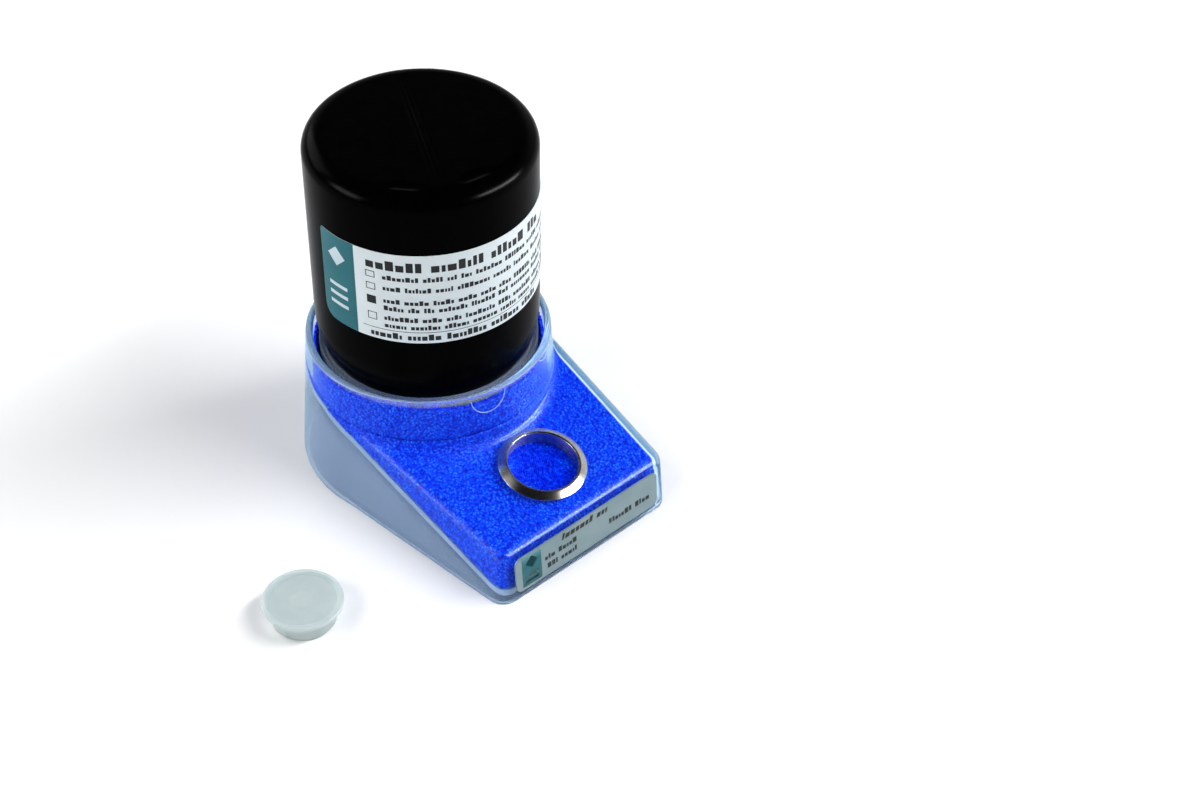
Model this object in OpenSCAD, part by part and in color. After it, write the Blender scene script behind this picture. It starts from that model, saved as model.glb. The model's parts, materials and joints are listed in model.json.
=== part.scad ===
// Bead dispenser for dental modelling wax. A clear wedge-shaped tray with a round collar at the
// back takes an upside-down bottle of wax beads. The beads run down a chute to a steel-lined
// access hole in the sloping deck, and a loose stopper closes that hole.
// Frame: origin on the table under the bottle's axis, +Z up, the front plate faces -Y. Millimetres.

/* [Tray] */
// Radius of the tray's round back at the table
tray_r = 36; // [35:0.5:38]
// Distance from the bottle's axis to the front face at the table
front_reach = 64; // [60:1:70]
// Half of the tray's width at its front face
front_half_w = 30; // [29:0.5:32]
// Plan radius of the two front corners at the table
corner_r = 5; // [4.5:0.5:7]
// Lean of the outer walls, in millimetres per millimetre of height
draft = 0.077; // [0.06:0.001:0.085]
// Thickness of the clear walls and the deck
wall = 1.9; // [1.6:0.1:2.1]
// Height of the deck's plane over the front face
deck_front_z = 16.6; // [15.6:0.2:18]
// Slope of the deck above the horizontal, in degrees
deck_angle = 11.6; // [10:0.2:13]
// Radius of the rounded edge around the deck
edge_r = 2.5; // [2.3:0.1:2.8]
// Height of the collar's rim
collar_h = 40.4; // [39.6:0.2:42]
// Thickness of the plate that closes the tray from below
floor_t = 2; // [1.5:0.5:2.5]

/* [Chute] */
// Slope of the chute above the horizontal, in degrees
chute_angle = 19; // [18:0.5:20]
// Thickness of the chute and its shelf
chute_t = 1.6; // [1.2:0.2:2]
// Height of the chute's upper face over the front face
chute_front_z = 3.1; // [3:0.1:3.6]
// Height of the shelf that the bottle's adapter stands on
shelf_z = 27; // [26:0.5:28]

/* [Access ring] */
// Distance from the bottle's axis to the ring's centre, measured level
ring_reach = 45.8; // [44:0.2:47]
// Radius of the ring's bore
ring_bore_r = 9.5; // [8.5:0.25:10]
// Radius of the ring's flange
ring_flange_r = 12; // [11.5:0.25:12.5]
// Height of the polished lip above the deck
ring_lip_h = 1.3; // [1:0.1:1.6]
// Length of the sleeve below the deck's plane
ring_sleeve = 3; // [2.5:0.1:3.4]

/* [Bottle] */
// Outer radius of the bottle
bottle_r = 30; // [29:0.25:30]
// Height of the bottle's upturned base above the table
bottle_top = 104; // [96:1:120]
// Thickness of the bottle's wall
bottle_wall = 1.5; // [1.2:0.1:1.8]
// Lower and upper edge of the label
label_z = [58.9, 86.9]; // [50:0.1:90]
// Angle that the label covers around the bottle, in degrees
label_sweep = 322; // [200:1:340]

/* [Screw adapter] */
// Number of grip ridges around the adapter
grip_count = 108; // [60:12:120]
// Outer radius of the adapter over its grip ridges
adapter_r = 29.5; // [29.3:0.1:29.7]

/* [Stopper] */
// Radius of the stopper's flange
stopper_r = 10.6; // [10:0.1:11.5]
// Height of the stopper
stopper_h = 6.8; // [6:0.2:8]
// Where the stopper stands on the table
stopper_at = [-69.2, -31.2]; // [-90:0.1:-20]

/* [Hidden] */
$fn = 96;

gap = 0.05; // clearance between pieces that are bonded or stand on each other
fit = 0.3; // clearance between pieces that move on each other
seam = 0.15; // how far the wedge's back stays inside the collar's cone
collar_draft = 0.077;
corner_y = corner_r - front_reach;
lean = atan((tray_r - front_half_w) / front_reach);
corner_x = front_half_w + (tray_r - front_half_w) * corner_r / front_reach - corner_r / cos(lean);
chute_back_y = (shelf_z - chute_front_z) / tan(chute_angle) - front_reach;
wax_level = 36.4; // top of the beads in the gap around the adapter
wax_drop = 0.3; // how far the beads in the well lie below the sleeve
sleeve_wall = 0.8; // thickness of the access ring's sleeve

// Posts under the front half of the adapter
post_at = [13.5, -23.4];
post_r = 1.6;

// Front plate
plate_w = 50.4;
plate_z = [2.8, 14.1];
plate_t = 0.5;
plate_corner = 2;

// Label
label_t = 0.15;
label_start = -187;

// Screw adapter
adapter_top = 38.5;
adapter_floor = shelf_z + 2 * gap;
adapter_rim = 1.4; // thickness of its rim, around the bottle's shoulder
grip_depth = 0.35;

// Bottle, from its mouth up
neck_r = 24.6;
thread_h = 0.7;
thread_pitch = 2.2;
thread_turns = 3;
mouth_z = shelf_z + 0.4;
shoulder_z = 35.4;
shoulder_top = 50;
foot_round = 5;
thread_z = [for (i = [0:thread_turns - 1]) mouth_z + 1.2 + i * thread_pitch];

function deck_z(y) = deck_front_z + tan(deck_angle) * (y + front_reach);
function chute_z(y) = chute_front_z + tan(chute_angle) * (y + front_reach);

// Points of an ellipse's arc, in the plane of a revolved profile
function arc(cx, cz, rx, rz, from, to, steps = 10) =
    [for (i = [0:steps]) let (a = from + (to - from) * i / steps) [cx + rx * cos(a), cz + rz * sin(a)]];

// One annular ridge of the bottle's thread, standing in for a turn of its helix
function ridge(r, z) =
    [[r, z - 0.65], [r + thread_h, z - 0.25], [r + thread_h, z + 0.25], [r, z + 0.65]];

// Places its children on the deck, with z = 0 on the deck's plane and +Z along its normal
module on_deck(x, y) {
    translate([x, y, deck_z(y)]) rotate([deck_angle, 0, 0]) children();
}

// One corner of the wedge: a disc on the table and a rounded ring just under the deck
module wedge_corner(x, y, r, inset) {
    rim_z = deck_z(y) - edge_r / cos(deck_angle);
    rim_r = r - draft * rim_z - edge_r;
    translate([x, y, -inset]) cylinder(r = r - inset + draft * inset, h = 0.1);
    translate([x, y, rim_z]) rotate([deck_angle, 0, 0]) rotate_extrude() intersection() {
        translate([rim_r, 0]) circle(r = edge_r - inset, $fn = 24);
        translate([0, -edge_r]) square(r + edge_r);
    }
}

// The wedge below the deck, drawn in by inset on all sides
module wedge(inset) {
    hull() {
        wedge_corner(0, 0, tray_r - seam, inset);
        for (side = [-1, 1]) wedge_corner(side * corner_x, corner_y, corner_r, inset);
    }
}

// The collar's cone, drawn in by inset, between two heights
module collar_cone(inset, z0, z1) {
    translate([0, 0, z0])
        cylinder(
            h = z1 - z0,
            r1 = tray_r - inset - collar_draft * z0,
            r2 = tray_r - inset - collar_draft * z1
        );
}

// The room inside the walls, drawn in further by slack
module cavity(slack, top) {
    wedge(wall + slack);
    collar_cone(wall + slack, -1, top);
}

module housing_shell() {
    color("lightcyan", 0.35) difference() {
        union() {
            wedge(0);
            collar_cone(0, 0, collar_h);
        }
        cavity(0, collar_h + 1);
        translate([0, 0, -5]) cube([200, 200, 10], center = true);
        on_deck(0, -ring_reach)
            cylinder(r = ring_bore_r + sleeve_wall + gap, h = 3 * wall, center = true);
    }
}

// Flat slab of the tray's plan outline, for the floor
module floor_outline(inset) {
    hull() {
        circle(r = tray_r - inset);
        for (side = [-1, 1]) translate([side * corner_x, corner_y]) circle(r = corner_r - inset);
    }
}

module base_plate() {
    color("gainsboro", 0.6) linear_extrude(floor_t) floor_outline(wall + gap + draft * (floor_t + wall));
}

// Side view of the chute and its shelf, as a band of the given thickness below the given drop
module chute_profile(drop, thick) {
    back = tray_r + 5;
    front = -front_reach - 5;
    polygon([
        [front, chute_z(front) - drop], [chute_back_y, shelf_z - drop], [back, shelf_z - drop],
        [back, shelf_z - drop - thick], [chute_back_y + thick / 3, shelf_z - drop - thick],
        [front, chute_z(front) - drop - thick / cos(chute_angle)]
    ]);
}

module across(width) {
    rotate([90, 0, 90]) linear_extrude(width, center = true) children();
}

module feeder_chute() {
    color("whitesmoke", 0.8) intersection() {
        cavity(gap, collar_h);
        across(100) chute_profile(0, chute_t);
    }
}

// Two posts hold up the front half of the adapter, over the chute
module posts(r, top) {
    for (side = [-1, 1]) translate([side * post_at.x, post_at.y, 0]) intersection() {
        cylinder(r = r, h = top);
        translate([-side * post_at.x, -post_at.y, 0]) across(100)
            polygon([[-40, chute_z(-40)], [-5, chute_z(-5)], [-5, top], [-40, top]]);
    }
}

module adapter_posts() {
    color("whitesmoke", 0.8) posts(post_r, shelf_z);
}

module access_ring() {
    sleeve_r = ring_bore_r + sleeve_wall;
    color("silver") on_deck(0, -ring_reach) rotate_extrude() polygon([
        [ring_bore_r, -ring_sleeve], [sleeve_r, -ring_sleeve], [sleeve_r, gap], [ring_flange_r, gap],
        [ring_flange_r, 0.35], [ring_bore_r + 0.55, ring_lip_h], [ring_bore_r, ring_lip_h]
    ]);
}

module rounded_rect(w, h, r) {
    square([w - 2 * r, h], center = true);
    square([w, h - 2 * r], center = true);
    for (sx = [-1, 1], sz = [-1, 1]) translate([sx * (w / 2 - r), sz * (h / 2 - r)]) circle(r = r);
}

module front_plate() {
    mid = (plate_z[0] + plate_z[1]) / 2;
    color("lightsteelblue") translate([0, -front_reach + draft * mid - 0.02, mid])
        rotate([90 - atan(draft), 0, 0])
        linear_extrude(plate_t) rounded_rect(plate_w, plate_z[1] - plate_z[0], plate_corner);
}

// Beads between the chute and the deck, up to the shelf, with a well under the access ring
module tray_wax() {
    color("mediumblue") difference() {
        intersection() {
            cavity(gap, collar_h);
            across(100) polygon([
                [-front_reach, chute_z(-front_reach) + gap],
                [chute_back_y - 2 * gap / tan(chute_angle), shelf_z - gap],
                [-front_reach, shelf_z - gap]
            ]);
        }
        posts(post_r + gap, shelf_z + 1);
        on_deck(0, -ring_reach) translate([0, 0, -ring_sleeve - wax_drop])
            cylinder(r = ring_bore_r + sleeve_wall + gap, h = 20);
    }
}

// Beads that have spilled around the adapter
module collar_wax() {
    color("mediumblue") difference() {
        collar_cone(wall + gap, shelf_z + gap, wax_level);
        cylinder(r = adapter_r + fit, h = 100);
    }
}

module grip_outline() {
    step = 360 / grip_count;
    tooth = [[0.05, -grip_depth], [0.2, 0], [0.55, 0], [0.7, -grip_depth]];
    polygon([for (i = [0:grip_count - 1], k = tooth)
        let (a = (i + k[0]) * step) (adapter_r + k[1]) * [cos(a), sin(a)]]);
}

// Groove in the adapter's bore for one ridge of the bottle's thread
function groove(r) = [
    [r - 1, -1], [r, -1], [r + thread_h, -0.55], [r + thread_h, 0.55], [r, 1], [r - 1, 1]
];

// Clear screw ring: the bottle's neck screws into it, and it stands on the shelf and the posts
module screw_adapter() {
    bore = neck_r + fit;
    cup_z = shoulder_z - fit;
    color("white", 0.4) difference() {
        translate([0, 0, adapter_floor]) linear_extrude(adapter_top - adapter_floor) grip_outline();
        translate([0, 0, adapter_floor - 1]) cylinder(r = bore, h = 20);
        translate([0, 0, cup_z]) cylinder(r = adapter_r - adapter_rim, h = 20);
        for (z = thread_z) translate([0, 0, z]) rotate_extrude() polygon(groove(bore));
    }
}

// Outline of the bottle from its mouth to the centre of its base, drawn in by inset
function bottle_outline(inset) = concat(
    [[neck_r - inset, mouth_z]],
    inset > 0 ? [] : [for (z = thread_z, p = ridge(neck_r, z)) p],
    [[neck_r - inset, shoulder_z + inset / 2]],
    arc(neck_r - 0.6, shoulder_top, bottle_r - neck_r + 0.6 - inset, shoulder_top - shoulder_z - inset / 2, -84, 0),
    arc(bottle_r - foot_round, bottle_top - foot_round, foot_round - inset, foot_round - inset, 0, 90, 8)
);

module bottle_body() {
    color("#101014") rotate_extrude() polygon(concat(
        bottle_outline(0),
        [[0, bottle_top], [0, bottle_top - bottle_wall]],
        [for (i = [len(bottle_outline(bottle_wall)) - 1:-1:0]) bottle_outline(bottle_wall)[i]]
    ));
}

module bottle_label() {
    color("aliceblue") rotate([0, 0, label_start]) rotate_extrude(angle = label_sweep)
        translate([bottle_r + 0.01, label_z[0]]) square([label_t, label_z[1] - label_z[0]]);
}

module bottle_wax() {
    color("mediumblue") rotate_extrude() polygon(concat(
        [[0, mouth_z]], bottle_outline(bottle_wall + gap), [[0, bottle_top - bottle_wall - gap]]
    ));
}

module stopper() {
    stub_top = 9.2;
    stub_foot = 8.4;
    flange_t = 1.5;
    color("azure", 0.7) translate([stopper_at.x, stopper_at.y, 0]) rotate_extrude() polygon([
        [0, 0], [stub_foot - 0.4, 0], [stub_foot, 0.5], [stub_top, stopper_h - flange_t],
        [stopper_r - 0.4, stopper_h - flange_t], [stopper_r, stopper_h - flange_t + 0.4],
        [stopper_r, stopper_h - 0.5], [stopper_r - 0.5, stopper_h], [0, stopper_h]
    ]);
}

housing_shell();
base_plate();
feeder_chute();
adapter_posts();
access_ring();
front_plate();
tray_wax();
collar_wax();
screw_adapter();
bottle_body();
bottle_label();
bottle_wax();
stopper();
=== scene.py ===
"""Looks of the wax bead dispenser: clear tray full of blue beads, black bottle, steel ring, stopper."""
import json
import math
import random

import bmesh
import bpy
import numpy as np
from mathutils import Matrix, Vector


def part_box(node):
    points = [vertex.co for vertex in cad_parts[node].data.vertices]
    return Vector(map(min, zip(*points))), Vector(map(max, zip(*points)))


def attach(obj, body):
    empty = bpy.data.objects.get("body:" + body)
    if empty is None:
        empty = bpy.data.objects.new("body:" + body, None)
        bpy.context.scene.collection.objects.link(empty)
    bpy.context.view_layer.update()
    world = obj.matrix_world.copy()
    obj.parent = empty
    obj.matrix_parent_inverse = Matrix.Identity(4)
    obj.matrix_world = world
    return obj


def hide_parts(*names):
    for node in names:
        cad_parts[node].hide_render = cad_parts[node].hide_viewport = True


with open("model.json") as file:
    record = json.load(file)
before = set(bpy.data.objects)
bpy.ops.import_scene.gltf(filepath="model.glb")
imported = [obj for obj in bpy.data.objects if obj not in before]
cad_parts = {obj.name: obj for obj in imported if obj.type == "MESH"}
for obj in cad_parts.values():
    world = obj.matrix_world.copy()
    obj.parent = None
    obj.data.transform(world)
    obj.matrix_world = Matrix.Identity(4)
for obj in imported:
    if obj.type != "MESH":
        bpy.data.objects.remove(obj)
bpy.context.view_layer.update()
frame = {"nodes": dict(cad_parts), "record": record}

MM = 0.001

# ---------------------------------------------------------------- sizes, in millimetres


def box_mm(node):
    low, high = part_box(node)
    return np.array(low) / MM, np.array(high) / MM


tray_low, tray_high = box_mm("housing_shell")
TRAY_R = tray_high[0]
FRONT = -tray_low[1]
RIM_Z = tray_high[2]
FRONT_HALF_W = 30.0  # half of the tray's width at its front face, on the table
CORNER_R = 5.0  # plan radius of the two front corners
DRAFT = 0.077  # lean of the outer walls, per unit of height
WALL = 1.9
DECK_FRONT_Z = 16.6  # height of the deck's plane over the front face
DECK_ANGLE = math.radians(11.6)
EDGE_R = 2.5  # rounding of the deck's outer edge
INNER_EDGE_R = 1.5  # and of the cavity's edge under it
RIM_R = 0.85  # nearly a full round on a wall of this thickness
FOOT_R = 0.6  # rounding where the wall meets the table
HOLE_EDGE_R = 0.1  # rounding of the ring's hole
FILLET_R = 1.6  # between the deck and the collar
FILLET_FADE = 5.0  # distance inside the outline over which the fillet grows to its full radius
CHUTE_ANGLE = math.radians(19)
CHUTE_FRONT_Z = 3.1
SHELF_Z = 27.0
POST_X, POST_Y = 13.5, -23.4  # the two posts under the adapter
POST_HOLE_R = 1.7
BEAD_GAP = 0.12  # between the beads and the clear wall
BEAD_CLEARANCE = 0.1  # between the beads and the chute, the shelf and the well's floor
BEAD_R = 0.33
GRID = 0.5  # grid of the fields that the tray and the heaps are meshed from

ring_mount = next(m for m in frame["record"]["mounts"] if m["name"] == "access_bore")
RING_Y = ring_mount["pos_m"][1] / MM
RING_BORE = ring_mount["dims"]["r_mm"]
SLEEVE_R = 10.35
WELL_DEPTH = 3.3  # of the beads' level under the ring, below the deck's plane

bottle_low, bottle_high = box_mm("bottle_body")
BOTTLE_R = bottle_high[0]
BOTTLE_TOP = bottle_high[2]
MOUTH_Z = bottle_low[2]
NECK_R = 24.6
BOTTLE_WALL = 1.5
ADAPTER_R = box_mm("screw_adapter")[1][0]

LEAN = math.atan((TRAY_R - FRONT_HALF_W) / FRONT)
CORNER_X = FRONT_HALF_W + (TRAY_R - FRONT_HALF_W) * CORNER_R / FRONT - CORNER_R / math.cos(LEAN)
CORNER_Y = CORNER_R - FRONT
UPRIGHT = math.cos(math.atan(DRAFT))


def deck_z(y):
    return DECK_FRONT_Z + math.tan(DECK_ANGLE) * (y + FRONT)


def on_deck(x, y):
    """Frame on the deck's plane, with +Z along its normal, in millimetres."""
    return Matrix.Translation((x, y, deck_z(y))) @ Matrix.Rotation(DECK_ANGLE, 4, "X")


# ---------------------------------------------------------------- materials


def add(tree, kind, inputs=None, **settings):
    """A shader node with its settings and its inputs, each a value or another node's socket."""
    node = tree.nodes.new("ShaderNode" + kind)
    for key, value in settings.items():
        setattr(node, key, value)
    for key, value in (inputs or {}).items():
        if isinstance(value, bpy.types.NodeSocket):
            tree.links.new(value, node.inputs[key])
        else:
            node.inputs[key].default_value = value
    return node


def calculate(tree, operation, *values):
    """A Math node on two or three values or sockets."""
    return add(tree, "Math", dict(enumerate(values)), operation=operation).outputs["Value"]


def ramp(tree, value, stops):
    """A colour from a value, through stops of (position, colour)."""
    node = add(tree, "ValToRGB", {"Fac": value})
    elements = node.color_ramp.elements
    while len(elements) < len(stops):
        elements.new(0.5)
    for element, (position, colour) in zip(elements, stops):
        element.position = position
        element.color = (*colour, 1)
    return node.outputs["Color"]


def spread(tree, value, low, high):
    """A value from 0 to 1 brought between low and high."""
    return add(tree, "MapRange", {"Value": value, "To Min": low, "To Max": high}).outputs["Result"]


def place(tree, stretch=(1, 1, 1)):
    """Object coordinates in millimetres, stretched."""
    coordinates = add(tree, "TexCoord").outputs["Object"]
    scale = tuple(s / MM for s in stretch)
    return add(tree, "Mapping", {"Vector": coordinates, "Scale": scale}).outputs["Vector"]


def noise(tree, scale, detail=2.0, stretch=(1, 1, 1)):
    """Noise with scale features to a millimetre."""
    return add(
        tree, "TexNoise", {"Vector": place(tree, stretch), "Scale": scale, "Detail": detail}
    ).outputs["Fac"]


def bump(tree, height, distance, strength, normal=None):
    """distance is the height in millimetres at full strength."""
    node = add(tree, "Bump", {"Height": height, "Distance": distance * MM, "Strength": strength})
    if normal is not None:
        tree.links.new(normal, node.inputs["Normal"])
    return node.outputs["Normal"]


def start(name):
    """An empty material with its node tree and output."""
    material = bpy.data.materials.new(name)
    material.use_nodes = True
    tree = material.node_tree
    tree.nodes.clear()
    return material, tree, add(tree, "OutputMaterial")


def surface(tree, out, **inputs):
    """A Principled shader on the output. Its inputs are named with _ for a space."""
    shader = add(tree, "BsdfPrincipled", {k.replace("_", " "): v for k, v in inputs.items()})
    tree.links.new(shader.outputs["BSDF"], out.inputs["Surface"])


CLEAR_IOR = 1.34  # lower than real acrylic, for the pale edges of thin mouldings
MIRROR_TINT = (0.74, 0.91, 1)
MIRROR_ROUGHNESS = (0.17, 0.21)
MIRROR_POWER = 1.3  # above 1, it keeps the mirror to the edges
FLOW_HEIGHT, FLOW_STRENGTH = 0.3, 0.08  # slight waves of the moulding

PALE_HAZE = (0.62, 0.7, 0.82)
# grey painted shade for the hollow under the chute, seen through the wall
HOLLOW_SHADE_GREY = (0.33, 0.42, 0.57)
RIM_PAINTED_LIGHT = 0.3  # share of pale haze on the rim, painted light for the pale clear edge
RIM_LIGHT_DEPTH = (1.5, 0.4)  # below the rim, where it starts and where it is full
WALL_SHADE = 0.35  # share of painted shade on the wall below the chute: a grey veil for the shaded hollow behind it
WALL_SHADE_DEPTH = (1.0, 4.0)  # below the chute's line, where it starts and where it is full


def tray_haze(tree):
    """Share and colour of the haze on the tray: painted pale light on the rim, and painted shade, a grey
    veil, on the wall below the chute.
    """
    split = add(tree, "SeparateXYZ", {"Vector": place(tree)})
    y, z = split.outputs["Y"], split.outputs["Z"]

    def grow(value, low, high, full):
        limits = {"Value": value, "From Min": low, "From Max": high, "To Max": full}
        return add(tree, "MapRange", limits).outputs["Result"]

    # painted pale light on the rim, in place of the light that the clear edge shows
    rim = grow(z, RIM_Z - RIM_LIGHT_DEPTH[0], RIM_Z - RIM_LIGHT_DEPTH[1], RIM_PAINTED_LIGHT)
    rise = math.tan(CHUTE_ANGLE)
    chute = calculate(tree, "MULTIPLY_ADD", y, rise, CHUTE_FRONT_Z + rise * FRONT)
    line = calculate(tree, "MINIMUM", chute, SHELF_Z)
    wall = grow(calculate(tree, "SUBTRACT", line, z), *WALL_SHADE_DEPTH, WALL_SHADE)
    share = calculate(tree, "ADD", rim, wall)
    # pale near the chute's line, grey painted shade further down the wall
    return share, ramp(tree, wall, [(0.0, PALE_HAZE), (0.2, HOLLOW_SHADE_GREY)])


def clear_plastic(name, tint, rough, haze, extra_haze=None):
    """Moulded clear plastic. Rays from lamps and diffuse bounces pass straight through it."""
    material, tree, out = start(name)
    flow = noise(tree, 0.05, 3)
    grain = noise(tree, 1.3, 3)
    normal = bump(tree, flow, FLOW_HEIGHT, FLOW_STRENGTH)
    gloss = spread(tree, grain, *MIRROR_ROUGHNESS)
    rough = spread(tree, grain, rough * 0.6, rough * 1.5)
    bend = add(
        tree, "BsdfRefraction",
        {"Color": (*tint, 1), "Roughness": rough, "IOR": CLEAR_IOR, "Normal": normal},
    )
    mirror = add(
        tree, "BsdfAnisotropic", {"Color": (*MIRROR_TINT, 1), "Roughness": gloss, "Normal": normal}
    )
    edge = add(tree, "Fresnel", {"IOR": CLEAR_IOR, "Normal": normal}).outputs["Fac"]
    shine = calculate(tree, "POWER", edge, MIRROR_POWER)
    clear = add(tree, "MixShader", {0: shine, 1: bend.outputs["BSDF"], 2: mirror.outputs["BSDF"]})
    veil = add(tree, "BsdfDiffuse", {"Color": (*PALE_HAZE, 1)})
    cloud = spread(tree, flow, 0.6 * haze, 1.4 * haze)
    # for the tray, this adds painted light on the rim and painted shade on the wall below the chute
    if extra_haze is not None:
        share, colour = extra_haze(tree)
        cloud = calculate(tree, "ADD", cloud, share)
        tree.links.new(colour, veil.inputs["Color"])
    glass = add(
        tree, "MixShader", {0: cloud, 1: clear.outputs["Shader"], 2: veil.outputs["BSDF"]}
    ).outputs["Shader"]
    path = add(tree, "LightPath")
    straight = add(tree, "BsdfTransparent", {"Color": (*[0.5 + t / 2 for t in tint], 1)})
    bounce = add(
        tree, "MixShader",
        {0: path.outputs["Is Diffuse Ray"], 1: glass, 2: straight.outputs["BSDF"]},
    )
    lamps = add(
        tree, "MixShader",
        {0: path.outputs["Is Shadow Ray"], 1: bounce.outputs["Shader"], 2: straight.outputs["BSDF"]},
    )
    tree.links.new(lamps.outputs["Shader"], out.inputs["Surface"])
    return material


def milky_plastic(name, dark, light, rough, soft):
    """Milky moulded plastic. soft is the share of light that scatters inside it."""
    material, tree, out = start(name)
    cloud = noise(tree, 0.18, 3)
    grain = noise(tree, 2.2, 2)
    surface(
        tree, out, Base_Color=ramp(tree, cloud, [(0.3, dark), (0.7, light)]),
        Roughness=spread(tree, grain, rough * 0.8, rough * 1.25), IOR=1.5,
        Subsurface_Weight=soft, Subsurface_Radius=(1.0, 1.0, 1.0), Subsurface_Scale=3 * MM,
        Normal=bump(tree, grain, 0.02, 0.4),
    )
    return material


def black_plastic():
    """Blow-moulded black plastic: satin, with a fine grain and faint flow marks."""
    material, tree, out = start("black_plastic")
    flow = noise(tree, 0.25, 4, (1, 1, 0.3))
    grain = noise(tree, 6, 2)
    surface(
        tree, out,
        Base_Color=ramp(tree, flow, [(0.3, (0.0003, 0.0004, 0.0006)), (0.7, (0.0008, 0.001, 0.0013))]),
        Roughness=spread(tree, flow, 0.18, 0.27), Specular_IOR_Level=0.022,
        Normal=bump(tree, flow, 0.06, 0.35, bump(tree, grain, 0.012, 0.5)),
    )
    return material


def wax(name, cell, depth):
    """Cobalt-blue wax. cell is a bead's size in the pattern, or 0 for the surface of one loose bead. The
    pattern paints a highlight on each bead's middle and shade in the gaps.
    """
    material, tree, out = start(name)
    patch = noise(tree, 0.35, 3)
    if cell:
        beads = add(tree, "TexVoronoi", {"Vector": place(tree), "Scale": 1 / cell}).outputs["Distance"]
        shade = calculate(tree, "ADD", beads, spread(tree, patch, -0.12, 0.16))
        # painted highlight at each bead's middle, painted shade in the gaps between the beads
        stops = [
            (0.06, (0.12, 0.45, 1.0)), (0.27, (0.008, 0.15, 0.98)),
            (0.5, (0.0, 0.06, 0.9)), (0.84, (0.0, 0.02, 0.57)),
        ]
        normal = bump(tree, spread(tree, beads, 1, 0), depth, 0.8)
    else:
        shade = noise(tree, 1.1, 2)
        stops = [(0.35, (0.008, 0.12, 1.0)), (0.5, (0.001, 0.042, 0.92)), (0.65, (0.0, 0.016, 0.65))]
        normal = bump(tree, noise(tree, 5, 2), depth, 0.4)
    surface(
        tree, out, Base_Color=ramp(tree, shade, stops), Roughness=spread(tree, patch, 0.45, 0.6),
        IOR=1.44, Specular_IOR_Level=0.12, Subsurface_Weight=0.15, Subsurface_Radius=(0.2, 0.5, 1.0),
        Subsurface_Scale=0.4 * MM, Normal=normal,
    )
    return material


GROOVES = 22  # lathe grooves to a millimetre
GROOVE_HEIGHT = 0.001


def turned_steel():
    """Turned steel: rings of fine grooves about the bore's axis."""
    material, tree, out = start("turned_steel")
    lathe_axis = on_deck(0, RING_Y)
    local = add(
        tree, "Mapping",
        {
            "Vector": add(tree, "TexCoord").outputs["Object"],
            "Location": tuple(-c * MM for c in lathe_axis.translation),
        },
        vector_type="POINT",
    ).outputs["Vector"]
    tilt = add(
        tree, "VectorRotate", {"Vector": local, "Angle": -DECK_ANGLE}, rotation_type="X_AXIS"
    ).outputs["Vector"]
    split = add(tree, "SeparateXYZ", {"Vector": tilt})
    flat = add(tree, "CombineXYZ", {"X": split.outputs["X"], "Y": split.outputs["Y"]}).outputs["Vector"]
    radius = add(tree, "VectorMath", {0: flat}, operation="LENGTH").outputs["Value"]
    groove = add(
        tree, "TexNoise",
        {"Vector": add(tree, "CombineXYZ", {"X": radius, "Y": split.outputs["Z"]}).outputs["Vector"],
         "Scale": GROOVES / MM, "Detail": 3},
    ).outputs["Fac"]
    wear = noise(tree, 0.8, 4)
    surface(
        tree, out, Metallic=1.0,
        Base_Color=ramp(tree, wear, [(0.3, (0.56, 0.54, 0.5)), (0.7, (0.59, 0.57, 0.53))]),
        Roughness=spread(tree, groove, 0.24, 0.29), Anisotropic=0.7, Anisotropic_Rotation=0.25,
        Normal=bump(tree, groove, GROOVE_HEIGHT, 0.3),
    )
    return material


def brushed_plate():
    """Satin silver film with a fine brushed grain along the plate."""
    material, tree, out = start("satin_silver_film")
    hair = noise(tree, 3.0, 3, (0.05, 1, 1))
    patch = noise(tree, 0.1, 2)
    surface(
        tree, out, Base_Color=ramp(tree, patch, [(0.3, (0.2, 0.275, 0.3)), (0.7, (0.25, 0.325, 0.35))]),
        Metallic=0.3, Specular_IOR_Level=0.3, Roughness=spread(tree, hair, 0.36, 0.5),
        Normal=bump(tree, hair, 0.02, 0.3),
    )
    return material


def film(name, dark, light, rough):
    """Printed film or ink: slight changes in colour and gloss."""
    material, tree, out = start(name)
    patch = noise(tree, 0.12, 4)
    fibre = noise(tree, 4, 3)
    surface(
        tree, out, Base_Color=ramp(tree, patch, [(0.3, dark), (0.7, light)]),
        Roughness=spread(tree, fibre, rough * 0.85, rough * 1.2), Specular_IOR_Level=0.35,
        Normal=bump(tree, fibre, 0.01, 0.3),
    )
    return material


def pale_floor():
    material, tree, out = start("pale_floor")
    patch = noise(tree, 0.004, 2)
    surface(
        tree, out, Base_Color=ramp(tree, patch, [(0, (0.95, 0.955, 0.96)), (1, (0.97, 0.97, 0.97))]),
        Roughness=0.9, Specular_IOR_Level=0.1,
    )
    return material


# Clear plastics: tint, roughness, share of haze. Milky ones and films: dark and light colour, roughness.
HOUSING = clear_plastic("clear_plastic", (0.93, 0.965, 0.99), 0.035, 0.004, tray_haze)
ADAPTER = clear_plastic("adapter_plastic", (0.88, 0.93, 0.99), 0.1, 0.15)
MARKS = clear_plastic("frosted_marks", (0.9, 0.95, 1.0), 0.3, 0.35)
FLOOR_SHEET = clear_plastic("smoky_sheet", (0.6, 0.66, 0.75), 0.16, 0.12)
CHUTE = milky_plastic("chute_plastic", (0.33, 0.43, 0.6), (0.39, 0.49, 0.66), 0.4, 0.2)
STOPPER = milky_plastic("stopper_plastic", (0.46, 0.53, 0.53), (0.5, 0.57, 0.565), 0.42, 0.7)
BLACK = black_plastic()
WAX = wax("wax_heap", 0.68, 0.22)
WAX_BEAD = wax("wax_bead", 0, 0.03)
STEEL = turned_steel()
SILVER = brushed_plate()
LABEL = film("label_film", (0.66, 0.73, 0.75), (0.7, 0.77, 0.79), 0.42)
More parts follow.
